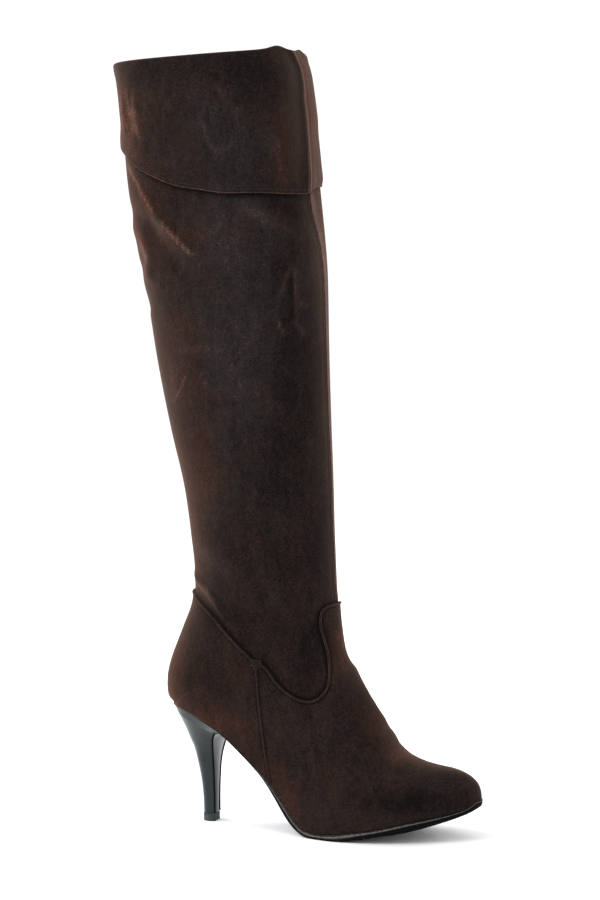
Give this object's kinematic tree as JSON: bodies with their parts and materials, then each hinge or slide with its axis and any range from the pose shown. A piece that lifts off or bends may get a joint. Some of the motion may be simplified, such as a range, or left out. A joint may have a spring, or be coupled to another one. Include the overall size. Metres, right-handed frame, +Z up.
{
  "type": "over-the-knee boot",
  "caption": "Tall pull-on boot with a pointed toe, a slim high heel, a turned-down cuff, and a vamp and counter laid over the shaft.",
  "frame": {"origin": "middle of the bounding box, on the floor that the heel and the ball of the sole stand on", "axes": "+X from heel to toe, +Y towards the inner side of the foot, +Z up along the shaft"},
  "size_m": [0.2644, 0.1098, 0.542],
  "materials": {
    "suede": "brushed nap",
    "lining": "matte",
    "sole_rubber": "matte",
    "heel_plastic": "gloss"
  },
  "bodies": {
    "root": {"upper": "suede", "vamp": "suede", "counter": "suede", "cuff": "suede", "insole": "lining", "outsole": "sole_rubber", "heel": "heel_plastic", "top_lift": "sole_rubber"}
  },
  "joints": []
}
